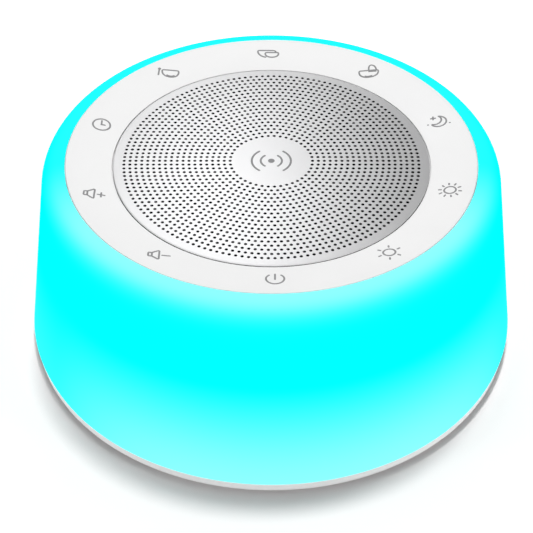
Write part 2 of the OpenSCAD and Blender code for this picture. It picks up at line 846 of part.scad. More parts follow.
module voice_coil() {
    bottom = winding_mid - winding_h / 2;
    top = winding_mid + winding_h / 2;
    color("#b5713a")
    lathe([
        [former_r - former_t, bottom - former_skirt],
        [former_r, bottom - former_skirt],
        [former_r, bottom],
        [winding_r, bottom],
        [winding_r, top],
        [former_r, top],
        [former_r, z_neck + neck_h],
        [former_r - former_t, z_neck + neck_h]
    ]);
}

// Flat lands with a half roll between them
module surround() {
    out_r = roll_w / 2;
    in_r = out_r - suspension_t;
    land_angle = asin(suspension_t / out_r);
    c = [roll_r, z_rim];
    color("#1d1e20")
    lathe(concat(
        [[cone_r - land_w, z_rim]],
        arc(c, in_r, 180, 0),
        [[surround_r, z_rim], [surround_r, z_rim + suspension_t]],
        arc(c, out_r, land_angle, 180 - land_angle),
        [[cone_r - land_w, z_rim + suspension_t]]
    ));
}

// A disc with round waves between a flat inner land and a flat outer land
module spider() {
    in_r = former_r + fit_gap;
    wave_in_r = in_r + land_w;
    wave_out_r = seat_ring_in_r - land_w / 2;
    out_r = plate_r - basket_wall_t - fit_gap;
    wave = [for (i = [0 : wave_steps])
        [wave_in_r + (wave_out_r - wave_in_r) * i / wave_steps,
         z_spider + wave_h * sin(360 * wave_count * i / wave_steps)]];
    middle = concat([[in_r, z_spider]], wave, [[out_r, z_spider]]);
    under = [for (p = middle) p - [0, suspension_t / 2]];
    upper = [for (p = middle) p + [0, suspension_t / 2]];
    color("#c7a35a")
    lathe(concat(under, reversed(upper)));
}

module speaker_gasket() {
    color("#2c2d30")
    translate([0, 0, z_rim + suspension_t])
        washer(surround_r, cone_r + roll_w, land_w);
}

// Seated on the outside of one leg of the basket
module terminal_block() {
    slope = (basket_top[0] - basket_foot[0]) / (basket_top[1] - basket_foot[1]);
    z0 = z_plate + window_bottom;
    color("#6b4a2b")
    rotate(front_angle)
        difference() {
            translate([plate_r + terminal_depth / 2 + fit_gap, 0, z0])
                block(terminal_depth + 2 * over, terminal_w, terminal_h);
            lathe([
                [0, z0 - over],
                [basket_foot[0] + (z0 - over - basket_foot[1]) * slope, z0 - over],
                [basket_foot[0] + (z0 + terminal_h + over - basket_foot[1]) * slope, z0 + terminal_h + over],
                [0, z0 + terminal_h + over]
            ]);
        }
}

module speaker_screws() {
    color("#8d9094")
    at_angles(rim_screw_r, around(rim_screw_count, base_screw_angle))
        translate([0, 0, z_rim]) screw(ring_screw, basket_t + ring_bite);
}

module speaker_leads() {
    color("#b3262a")
    lead_row(speaker_route, lead_d, 2, lead_spread, front_angle);
}

module led_board() {
    color("#f2f2ee")
    translate([0, 0, z_led_board - thin_board_t])
        difference() {
            rotate(rear_angle + led_gap_angle / 2) rotate_extrude(angle = 360 - led_gap_angle)
                translate([led_board_in_r, 0]) square([led_board_w, thin_board_t]);
            at_angles(led_circle_r, led_screw_angles) clearance_hole(board_screw, thin_board_t);
        }
}

module leds() {
    color("#fdf6c8")
    at_angles(led_circle_r, [for (i = [0 : led_count - 1]) led_first_angle + i * led_step_angle])
        translate([0, 0, z_led_board]) block(led_size, led_size, led_h);
}

module led_board_screws() {
    color("#8d9094")
    at_angles(led_circle_r, led_screw_angles)
        translate([0, 0, z_led_board]) screw(board_screw, thin_board_t + board_bite);
}

module led_leads() {
    color("#2f6fb5")
    lead_row(led_route, led_lead_d, 4, led_lead_spread, lights_angle);
}

module main_board() {
    color("#1f6b3a")
    translate([0, 0, z_main_board - board_t])
        difference() {
            cylinder(r = main_board_r, h = board_t);
            at_angles(main_post_circle_r, around(main_post_count, base_screw_angle))
                clearance_hole(board_screw, board_t);
        }
}

module main_board_parts() {
    color("#26272a")
    translate([0, 0, z_main_board]) {
        for (c = main_chips)
            translate([c[0], c[1], 0]) block(c[2], c[3], c[4]);
        for (c = main_cans)
            translate([c[0], c[1], 0]) cylinder(d = c[2], h = c[3]);
        at_angles(header_r + header_depth / 2, [front_angle, lights_angle, rear_angle, touch_angle])
            block(header_depth, header_w, header_h);
    }
}

module main_board_screws() {
    color("#8d9094")
    at_angles(main_post_circle_r, around(main_post_count, base_screw_angle))
        translate([0, 0, z_main_board]) screw(board_screw, board_t + board_bite);
}

module power_board() {
    color("#1f6b3a")
    translate([0, 0, z_power_board - thin_board_t])
        difference() {
            translate([-power_board_w / 2, power_board_in_y, 0])
                cube([power_board_w, power_board_y - power_board_in_y, thin_board_t]);
            for (x = [-power_post_x, power_post_x])
                translate([x, power_post_y, 0]) clearance_hole(board_screw, thin_board_t);
        }
}

// A shell with round ends, closed at the back, and the flat tongue inside it
module power_socket() {
    color("#b9bcc0")
    translate([0, mouth_y, z_socket]) rotate([90, 0, 0]) {
        difference() {
            linear_extrude(socket_depth) stadium(socket_w, socket_h);
            translate([0, 0, -over]) linear_extrude(socket_depth - socket_back + over)
                stadium(socket_w - 2 * socket_t, socket_h - 2 * socket_t);
        }
        translate([0, -tongue_t / 2, socket_depth - socket_back - tongue_depth])
            translate([-tongue_w / 2, 0, 0]) cube([tongue_w, tongue_t, tongue_depth + socket_back / 2]);
    }
}

module power_board_screws() {
    color("#8d9094")
    for (x = [-power_post_x, power_post_x])
        translate([x, power_post_y, z_power_board]) screw(board_screw, thin_board_t + board_bite);
}

module power_leads() {
    color("#b3262a")
    lead_row(power_route, lead_d, 2, lead_spread, rear_angle);
}

base_pan();
rubber_feet();
base_screws();
diffuser_shell();
touch_ring();
speaker_grille();
grille_cloth();
inner_frame();
front_seal();
ring_screws();
touch_board();
touch_electrodes();
touch_board_parts();
touch_cable();
speaker_basket();
top_plate();
magnet();
pole_yoke();
cone();
dust_cap();
voice_coil();
surround();
spider();
speaker_gasket();
terminal_block();
speaker_screws();
speaker_leads();
led_board();
leds();
led_board_screws();
led_leads();
main_board();
main_board_parts();
main_board_screws();
power_board();
power_socket();
power_board_screws();
power_leads();
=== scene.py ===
import json
import math

import bpy
import numpy as np
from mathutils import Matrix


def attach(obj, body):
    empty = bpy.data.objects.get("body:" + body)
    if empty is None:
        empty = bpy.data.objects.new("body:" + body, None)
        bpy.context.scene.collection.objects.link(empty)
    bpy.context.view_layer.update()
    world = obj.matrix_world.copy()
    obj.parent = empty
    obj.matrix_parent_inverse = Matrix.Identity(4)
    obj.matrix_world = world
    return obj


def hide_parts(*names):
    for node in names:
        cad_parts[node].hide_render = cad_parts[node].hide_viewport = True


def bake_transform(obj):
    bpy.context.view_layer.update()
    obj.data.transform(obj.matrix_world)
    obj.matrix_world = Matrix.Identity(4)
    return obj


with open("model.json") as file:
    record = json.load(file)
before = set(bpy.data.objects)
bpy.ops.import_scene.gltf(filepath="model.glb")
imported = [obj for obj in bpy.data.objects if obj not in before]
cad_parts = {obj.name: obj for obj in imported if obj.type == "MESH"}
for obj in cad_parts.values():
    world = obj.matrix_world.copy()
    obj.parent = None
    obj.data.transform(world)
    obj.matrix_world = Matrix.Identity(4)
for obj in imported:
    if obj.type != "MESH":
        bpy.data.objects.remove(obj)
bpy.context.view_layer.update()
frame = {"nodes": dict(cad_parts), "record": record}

# Lengths are in millimetres, as in the part's source, and become metres in make_piece
MM = 0.001
BODY_R, BODY_H = 62.5, 54.3
SHOULDER_R, SHOULDER_SET = 6.5, 0.5
WALL_T = 2.2
FLOOR_Z, TOE_Z, TOE_IN = 3.4, 4.5, 0.3
RING_R, RING_GAP = 50.5, 0.35
RING_EDGE_Z, RING_INNER_Z, RING_CROWN = 54.0, 51.9, 0.4
RING_UNDER_Z = 50.3
LIP_T, LEDGE_W, LEDGE_T = 2.0, 1.4, 2.0
GRILLE_R, GRILLE_GAP = 38.85, 0.2
GRILLE_TOP_Z, GRILLE_T = 52.0, 0.6
LEDGE_R = 37.2
HOLE_PITCH, HOLE_R = 1.445, 0.4
FIRST_HOLE_RING, LAST_HOLE_RING = 7, 25
NOTCH_HALF_W, NOTCH_TOP_Z = 9.65, 12.01
PILLAR_COUNT, PILLAR_R, PILLAR_H = 5, 3.0, 3.9
PILOT_R, PILOT_DEPTH = 1.15, 4.0
RING_MID_R = (GRILLE_R + RING_R) / 2
FRONT = 270  # the direction of the front, in degrees
TURN = 2 * math.pi
RING_COLUMNS, PILLAR_COLUMNS, SPRING_COLUMNS = 288, 24, 96


def rounded(corners):
    """A closed outline of (r, z, radius) corners, each corner replaced by the arc of that radius that
    touches both of its sides; the arc's points are its middle plus the radius times unit vectors that
    turn evenly from one side's normal to the other's. A point just before the arc and one just after it
    keep the sides' shading flat."""
    guard = 0.03
    corners = np.asarray(corners, float)
    outline = []
    for before, here, after in zip(np.roll(corners, 1, 0), corners, np.roll(corners, -1, 0)):
        p, radius = here[:2], here[2]
        if radius == 0:
            outline.append(p[None])
            continue
        a = (before[:2] - p) / np.linalg.norm(before[:2] - p)
        b = (after[:2] - p) / np.linalg.norm(after[:2] - p)
        half = np.arccos(np.clip(a @ b, -1, 1)) / 2
        middle = p + (a + b) / np.linalg.norm(a + b) * radius / np.sin(half)
        reach = radius / np.tan(half)
        start, end = p + a * reach - middle, p + b * reach - middle
        first = np.arctan2(start[1], start[0])
        sweep = (np.arctan2(end[1], end[0]) - first + math.pi) % TURN - math.pi
        turn = first + sweep * np.linspace(0, 1, 6)
        outline.append(p[None] + a * (reach + guard))
        outline.append(middle + radius * np.c_[np.cos(turn), np.sin(turn)])
        outline.append(p[None] + b * (reach + guard))
    return np.concatenate(outline)


def arc(middle, radius, start, end, count):
    """Points at a radius from a middle, at evenly spaced angles in degrees from start to end."""
    turn = np.radians(np.linspace(start, end, count))
    return np.asarray(middle) + radius * np.c_[np.cos(turn), np.sin(turn)]


def grid_faces(rows, columns):
    """Quads of a grid that closes on itself both ways, outwards for an outline that runs
    counter-clockwise in (r, z) along the rows and turns counter-clockwise along the columns."""
    u, v = np.meshgrid(np.arange(rows), np.arange(columns), indexing="ij")
    u_next, v_next = (u + 1) % rows, (v + 1) % columns
    return np.stack([
        u * columns + v, u * columns + v_next, u_next * columns + v_next, u_next * columns + v], -1)


def turned(outline, angle):
    """The points (r cos a, r sin a, z) for every outline point (r, z) and each of its angles a."""
    r, z = outline[:, :1], outline[:, 1:]
    return np.stack([r * np.cos(angle), r * np.sin(angle), z + 0 * angle], -1).reshape(-1, 3)


def lathe(outline, columns):
    """An outline turned about Z in evenly spaced angles, and the quads between its points."""
    a = TURN * np.arange(columns) / columns
    return turned(outline, a), grid_faces(len(outline), columns).reshape(-1, 4)


def make_piece(name, points, faces, materials, smooth_angle=32, indices=None, rides=True):
    """Puts points in millimetres and groups of faces into a mesh in metres, which rides on the housing
    unless rides is false."""
    mesh = bpy.data.meshes.new(name)
    all_faces = [f for group in faces for f in np.asarray(group).tolist()]
    mesh.from_pydata((np.asarray(points) * MM).tolist(), [], all_faces)
    for m in materials:
        mesh.materials.append(m)
    if indices is not None:
        mesh.polygons.foreach_set("material_index", indices.astype(np.int32))
    mesh.shade_smooth()
    mesh.set_sharp_from_angle(angle=math.radians(smooth_angle))
    mesh.update()
    piece = bpy.data.objects.new(name, mesh)
    bpy.context.scene.collection.objects.link(piece)
    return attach(piece, "housing") if rides else piece


# Materials

GRAIN_STRENGTH, RELIEF_STRENGTH = 0.35, 0.6
TRACK_LIFT = 0.03


def linear(hex_colour):
    """An sRGB hex colour as linear red, green, blue and alpha."""
    value = np.array([int(hex_colour[i:i + 2], 16) for i in (1, 3, 5)]) / 255
    value = np.where(value <= 0.04045, value / 12.92, ((value + 0.055) / 1.055) ** 2.4)
    return (*value.tolist(), 1.0)


def add(tree, kind, inputs=None, **settings):
    """Adds a node, sets its settings, and links or sets its inputs."""
    made = tree.nodes.new(kind)
    for key, value in settings.items():
        setattr(made, key, value)
    for key, value in (inputs or {}).items():
        if isinstance(value, bpy.types.NodeSocket):
            tree.links.new(value, made.inputs[key])
        else:
            made.inputs[key].default_value = value
    return made


def new_material(name, **sockets):
    """A material's tree, its Principled shader with constant sockets set, and its Object coordinates."""
    made = bpy.data.materials.new(name)
    made.use_nodes = True
    tree = made.node_tree
    shader = tree.nodes["Principled BSDF"]
    for key, value in sockets.items():
        shader.inputs[key.replace("_", " ")].default_value = value
    return made, tree, shader, tree.nodes.new("ShaderNodeTexCoord").outputs["Object"]


def grain_scale(size_mm):
    """The scale of a noise or cell texture on metres whose grains are this wide."""
    return 1 / (size_mm * MM)


def wave_scale(step_mm):
    """The scale of a wave texture on metres whose waves are this long; at scale 1 they are pi / 10."""
    return math.pi / 10 / (step_mm * MM)


def mottled(name, dark, light, roughness, grain_mm, depth_mm, cloud_mm=12, uneven=0.05, **sockets):
    """A base finish: colour drifts between two near shades in wide clouds, and a fine grain stands up
    from the surface and makes the roughness uneven."""
    made, tree, shader, at = new_material(name, **sockets)
    clouds = add(tree, "ShaderNodeTexNoise", {"Vector": at, "Scale": grain_scale(cloud_mm), "Detail": 3.0})
    grain = add(tree, "ShaderNodeTexNoise", {"Vector": at, "Scale": grain_scale(grain_mm), "Detail": 2.0})
    shade = add(tree, "ShaderNodeMix", {
        "Factor": clouds.outputs["Fac"], "A": linear(dark), "B": linear(light)}, data_type="RGBA")
    tree.links.new(shade.outputs["Result"], shader.inputs["Base Color"])
    rough = add(tree, "ShaderNodeMapRange", {
        "Value": grain.outputs["Fac"], "To Min": roughness - uneven, "To Max": roughness + uneven})
    tree.links.new(rough.outputs["Result"], shader.inputs["Roughness"])
    bump = add(tree, "ShaderNodeBump", {
        "Height": grain.outputs["Fac"], "Strength": GRAIN_STRENGTH, "Distance": depth_mm * MM})
    tree.links.new(bump.outputs["Normal"], shader.inputs["Normal"])
    return made


def shaded(tree, shader, factor, dark, light, depth_mm):
    """Colours a surface from dark to light, and lifts it, by one factor."""
    shade = add(tree, "ShaderNodeMix", {
        "Factor": factor, "A": linear(dark), "B": linear(light)}, data_type="RGBA")
    tree.links.new(shade.outputs["Result"], shader.inputs["Base Color"])
    bump = add(tree, "ShaderNodeBump", {
        "Height": factor, "Strength": RELIEF_STRENGTH, "Distance": depth_mm * MM})
    tree.links.new(bump.outputs["Normal"], shader.inputs["Normal"])


def banded(name, dark, light, roughness, step_mm, depth_mm, kind="BANDS", along="X", **sockets):
    """Even lines: a sine of the distance along an axis, or of the distance from it for rings."""
    made, tree, shader, at = new_material(name, Roughness=roughness, **sockets)
    wave = add(tree, "ShaderNodeTexWave", {"Vector": at, "Scale": wave_scale(step_mm)},
               wave_type=kind, **{kind.lower() + "_direction": along})
    shaded(tree, shader, wave.outputs["Fac"], dark, light, depth_mm)
    return made


def woven(name, dark, light, roughness, thread_mm, depth_mm, **sockets):
    """Cloth: two sines at right angles, each two threads long, multiplied; where both are high a thread
    crosses over, stands up and catches more light."""
    made, tree, shader, at = new_material(name, Roughness=roughness, **sockets)
    warp, weft = [add(tree, "ShaderNodeTexWave", {"Vector": at, "Scale": wave_scale(2 * thread_mm)},
                      bands_direction=axis).outputs["Fac"] for axis in "XY"]
    crossing = add(tree, "ShaderNodeMath", {0: warp, 1: weft}, operation="MULTIPLY")
    shaded(tree, shader, crossing.outputs[0], dark, light, depth_mm)
    return made


def pored(name, dark, light, roughness, pore_mm, depth_mm, **sockets):
    """Foam: the distance to the middle of the nearest cell, low in the pores and high on their walls."""
    made, tree, shader, at = new_material(name, Roughness=roughness, **sockets)
    cells = add(tree, "ShaderNodeTexVoronoi", {"Vector": at, "Scale": grain_scale(pore_mm)})
    shaded(tree, shader, cells.outputs["Distance"], dark, light, depth_mm)
    return made


def tracked(name, dark, light, roughness, track_mm, patch_mm, **sockets):
    """A circuit board: square patches, each with even tracks that run along X or along Y by chance."""
    made, tree, shader, at = new_material(name, Roughness=roughness, **sockets)
    patch = add(tree, "ShaderNodeTexVoronoi", {"Vector": at, "Scale": grain_scale(patch_mm)},
                distance="CHEBYCHEV")
    chance = add(tree, "ShaderNodeSeparateColor", {"Color": patch.outputs["Color"]})
    which = add(tree, "ShaderNodeMath", {0: chance.outputs[0], 1: 0.5}, operation="GREATER_THAN")
    along, across = [add(tree, "ShaderNodeTexWave", {"Vector": at, "Scale": wave_scale(track_mm)},
                         bands_direction=axis).outputs["Fac"] for axis in "XY"]
    waves = add(tree, "ShaderNodeMix", {"Factor": which.outputs[0], "A": along, "B": across})
    edges = add(tree, "ShaderNodeMapRange", {
        "Value": waves.outputs["Result"], "From Min": 0.4, "From Max": 0.6}, interpolation_type="SMOOTHSTEP")
    shaded(tree, shader, edges.outputs["Result"], dark, light, TRACK_LIFT)
    return made


# Milky acrylic shell lit from inside: cyan all over, whiter low down by the lamps; painted light makes that
# white strongest at the front, and the white on the shoulder, most at the front, is a painted highlight; its
# satin skin mirrors nothing of the room
def lit_acrylic():
    # The foot's white is lamp glow plus painted light at the front; the shoulder's white is a painted
    # highlight
    foot_top, foot_low, foot_white = 33, 1, 0.28
    fade_depth, shoulder_highlight = 3.3, 0.275
    cyan, grain_mm, grain_depth = 0.95, 0.5, 0.01
    made, tree, shader, at = new_material(
        "acrylic_milky_lit_painted_highlight", Base_Color=(0.0, 0.3, 0.3, 1.0), Specular_IOR_Level=0.0, Roughness=0.4,
        Emission_Strength=1.0)
    part = add(tree, "ShaderNodeSeparateXYZ", {"Vector": at}).outputs
    flat = add(tree, "ShaderNodeCombineXYZ", {"X": part["X"], "Y": part["Y"]})
    away = add(tree, "ShaderNodeVectorMath", {0: flat.outputs[0]}, operation="NORMALIZE")

    def facing(degrees, least, most, rest):
        """How far a point faces a direction, from rest where the cosine is least to one where it is most."""
        towards = (math.cos(math.radians(degrees)), math.sin(math.radians(degrees)), 0)
        dot = add(tree, "ShaderNodeVectorMath", {0: away.outputs[0], 1: towards}, operation="DOT_PRODUCT")
        return add(tree, "ShaderNodeMapRange", {
            "Value": dot.outputs["Value"], "From Min": least, "From Max": most, "To Min": rest,
            "To Max": 1.0}, interpolation_type="SMOOTHSTEP").outputs["Result"]

    # Whiter by the lamps: from nothing at the top of the lamps' glow to most of it at the foot; painted
    # light makes it strongest at the front
    foot = add(tree, "ShaderNodeMapRange", {
        "Value": part["Z"], "From Min": foot_top * MM, "From Max": foot_low * MM, "To Max": foot_white},
        interpolation_type="SMOOTHSTEP")
    foot = add(tree, "ShaderNodeMath", {
        0: foot.outputs["Result"], 1: facing(277.5, least=0.355, most=0.955, rest=0.13)},
        operation="MULTIPLY")
    # Painted highlight on the shoulder, most at the front: one over the cube of 1 + (depth below the top /
    # fade depth) squared
    depth = add(tree, "ShaderNodeMapRange", {
        "Value": part["Z"], "From Min": BODY_H * MM, "From Max": (BODY_H - 10 * fade_depth) * MM,
        "To Max": 10.0})
    square = add(tree, "ShaderNodeMath", {
        0: depth.outputs["Result"], 1: depth.outputs["Result"], 2: 1.0}, operation="MULTIPLY_ADD")
    fade = add(tree, "ShaderNodeMath", {0: square.outputs[0], 1: -3.0}, operation="POWER")
    share = add(tree, "ShaderNodeMath", {
        0: facing(FRONT, least=0.05, most=0.62, rest=0.06), 1: shoulder_highlight}, operation="MULTIPLY")
    white = add(tree, "ShaderNodeMath", {
        0: fade.outputs[0], 1: share.outputs[0], 2: foot.outputs[0]}, operation="MULTIPLY_ADD")
    colour = add(tree, "ShaderNodeCombineColor", {"Red": white.outputs[0], "Green": cyan, "Blue": cyan})
    tree.links.new(colour.outputs[0], shader.inputs["Emission Color"])
    grain = add(tree, "ShaderNodeTexNoise", {"Vector": at, "Scale": grain_scale(grain_mm), "Detail": 2.0})
    bump = add(tree, "ShaderNodeBump", {
        "Height": grain.outputs["Fac"], "Strength": 0.1, "Distance": grain_depth * MM})
    tree.links.new(bump.outputs["Normal"], shader.inputs["Normal"])
    return made


# ABS moulded in a finely eroded tool: a soft satin white
ring_abs = mottled("abs_satin_white", "#e9e9e9", "#ededed", 0.5, 0.35, 0.004, Specular_IOR_Level=0.3)
# ABS of the base, from a coarser tool: duller
base_abs = mottled("abs_matt_white", "#f1f1f1", "#f5f5f5", 0.55, 0.4, 0.01)
# Perforated aluminium sheet, blasted and clear anodised: soft silver reflections with a fine sparkle
grille_silver = mottled(
    "aluminium_satin_anodised", "#f0f0f1", "#f5f5f6", 0.28, 0.3, 0.0003, uneven=0.01, Metallic=1.0)
# Punched edges and hole walls of the sheet: painted shade, coloured nearly black for the shade inside the
# holes and under the bend; rough and dull
painted_shade_edge = mottled("aluminium_edge_painted_shade", "#0c0c0d", "#121213", 0.7, 0.3, 0.004)
# Pad-printing ink: thin, matt, mid grey
print_ink = mottled("pad_print_ink_grey", "#848485", "#8c8c8d", 0.6, 0.25, 0.002, cloud_mm=2)


# Shell: the outside rises from the toe, round the shoulder and down the lip, and the inside runs back

shoulder_middle = np.array(
    [RING_R - SHOULDER_SET, BODY_H - math.sqrt(SHOULDER_R ** 2 - SHOULDER_SET ** 2)])
toe = np.array([BODY_R, TOE_Z]) - shoulder_middle
lean = math.degrees(math.atan2(toe[1], toe[0]) + math.acos(SHOULDER_R / math.hypot(*toe)))
inner_shoulder_r = SHOULDER_R - WALL_T
lip_angle = math.degrees(math.acos((LIP_T + SHOULDER_SET) / inner_shoulder_r))
opening_angle = math.degrees(math.acos(SHOULDER_SET / SHOULDER_R))


def wall_r(z, offset):
    """Radius of the leaning wall at a height, at an offset from the shoulder's middle."""
    start = shoulder_middle + offset * np.array([math.cos(math.radians(lean)), math.sin(math.radians(lean))])
    return start[0] + (start[1] - z) * math.tan(math.radians(lean))


def shell_outline():
    """The shell's closed outline, counter-clockwise, and which of its points lie at or below the notch's
    top."""
    levels = np.array([6.0, 8.0, 10.0, NOTCH_TOP_Z, 16, 20, 25, 30, 35, 40, 45])
    outside = np.c_[wall_r(levels, SHOULDER_R), levels]
    inside = np.c_[wall_r(levels[::-1], inner_shoulder_r), levels[::-1]]
    edge, bevel = 0.25, 0.15
    toe_drop, toe_in_low, toe_in_high = 0.25, 0.06, 0.01
    lip_edge = np.array([RING_R, BODY_H])
    outline = np.concatenate([
        [[BODY_R - TOE_IN - bevel, FLOOR_Z], [BODY_R - TOE_IN, FLOOR_Z + bevel]],
        [[BODY_R - toe_in_low, TOE_Z - toe_drop], [BODY_R - toe_in_high, TOE_Z]],
        outside,
        arc(shoulder_middle, SHOULDER_R, lean, opening_angle - math.degrees(edge / SHOULDER_R), 28),
        arc(lip_edge + [edge, -edge], edge, 97, 180, 6),
        [[RING_R, RING_UNDER_Z], [RING_R - LEDGE_W, RING_UNDER_Z]],
        [[RING_R - LEDGE_W, RING_UNDER_Z - LEDGE_T], [RING_R + LIP_T, RING_UNDER_Z - LEDGE_T]],
        arc(shoulder_middle, inner_shoulder_r, lip_angle, lean, 12),
        inside,
        [[wall_r(FLOOR_Z, inner_shoulder_r), FLOOR_Z]],
    ])
    return outline, outline[:, 1] <= NOTCH_TOP_Z + 1e-6


def make_shell():
    """The outline turned about Z, with the angle of each column measured so that two of them run along
    x = plus and minus half the notch's width at every radius; between these two the cells under the
    notch's top are left out, and flat cheeks and a flat lintel close the opening."""
    outline, low = shell_outline()
    rows, notch_columns, other_columns = len(outline), 12, 276
    half = np.arcsin(NOTCH_HALF_W / outline[:, :1])
    across = np.linspace(-1, 1, notch_columns + 1)[None]
    around = np.linspace(0, 1, other_columns + 1)[None, 1:-1]
    angle = np.concatenate([TURN / 4 + half * across, TURN / 4 + half + (TURN - 2 * half) * around], 1)
    columns = angle.shape[1]
    cells = grid_faces(rows, columns)
    open_rows = low & np.roll(low, -1)
    keep = np.ones((rows, columns), bool)
    keep[np.ix_(open_rows, np.arange(notch_columns))] = False
    low_rows = np.flatnonzero(low)
    split = np.flatnonzero(np.diff(low_rows) > 1)[0]
    outer_top, inner_top = low_rows[split], low_rows[split + 1]
    loop = np.concatenate([low_rows[split + 1:], low_rows[:split + 1]])
    cheeks = [(loop * columns + notch_columns)[::-1], loop * columns]
    step = np.arange(notch_columns)
    lintel = np.stack([outer_top * columns + step, inner_top * columns + step,
                       inner_top * columns + step + 1, outer_top * columns + step + 1], -1)
    faces = [cells[keep], [cheeks[0]], [cheeks[1]], lintel]
    return make_piece("shell", turned(outline, angle), faces, [lit_acrylic()])


def ring_face_z(r):
    """Height of the ring's face: a straight fall from its outer to its inner edge, plus a crown that is
    four times its height times t times (1 - t), where t runs from 0 to 1 across the face."""
    t = (RING_R - RING_GAP - r) / (RING_R - RING_GAP - GRILLE_R - GRILLE_GAP)
    return RING_EDGE_Z - t * (RING_EDGE_Z - RING_INNER_Z) + 4 * RING_CROWN * t * (1 - t)


def make_ring():
    """The ring's outline with rounded edges and a crowned face turned about Z, and five hollow pillars
    under it."""
    outer, inner = RING_R - RING_GAP, GRILLE_R + GRILLE_GAP
    seat = GRILLE_TOP_Z - GRILLE_T
    bevel, tight_r, edge_r, inner_edge_r = 0.25, 0.05, 0.1, 0.15
    face = np.linspace(outer, inner, 13)[1:-1]
    points, faces = lathe(rounded([
        (LEDGE_R, RING_UNDER_Z, edge_r), (outer + bevel, RING_UNDER_Z, edge_r),
        (outer + bevel, RING_EDGE_Z - bevel, tight_r), (outer, RING_EDGE_Z, edge_r),
        *np.c_[face, ring_face_z(face), 0 * face],
        (inner, RING_INNER_Z, inner_edge_r), (inner, seat, tight_r), (LEDGE_R, seat, edge_r)]), RING_COLUMNS)
    low = RING_UNDER_Z - PILLAR_H
    core_r, root_z, foot_r, first_pillar = 0.02, RING_UNDER_Z + 0.3, 0.2, 18
    pillar, pillar_faces = lathe(rounded([
        (PILOT_R, low, edge_r), (PILLAR_R, low, foot_r), (PILLAR_R, root_z, 0), (core_r, root_z, 0),
        (core_r, low + PILOT_DEPTH, 0), (PILOT_R, low + PILOT_DEPTH, 0)]), PILLAR_COLUMNS)
    count = np.arange(PILLAR_COUNT)
    turns = np.radians(FRONT + first_pillar + 360 / PILLAR_COUNT * count)
    offsets = RING_MID_R * np.c_[np.cos(turns), np.sin(turns), 0 * turns]
    all_points = np.concatenate([points, (pillar[None] + offsets[:, None]).reshape(-1, 3)])
    copies = (pillar_faces[None] + len(pillar) * count[:, None, None]).reshape(-1, 4)
    return make_piece("ring", all_points, [faces, len(points) + copies], [ring_abs])


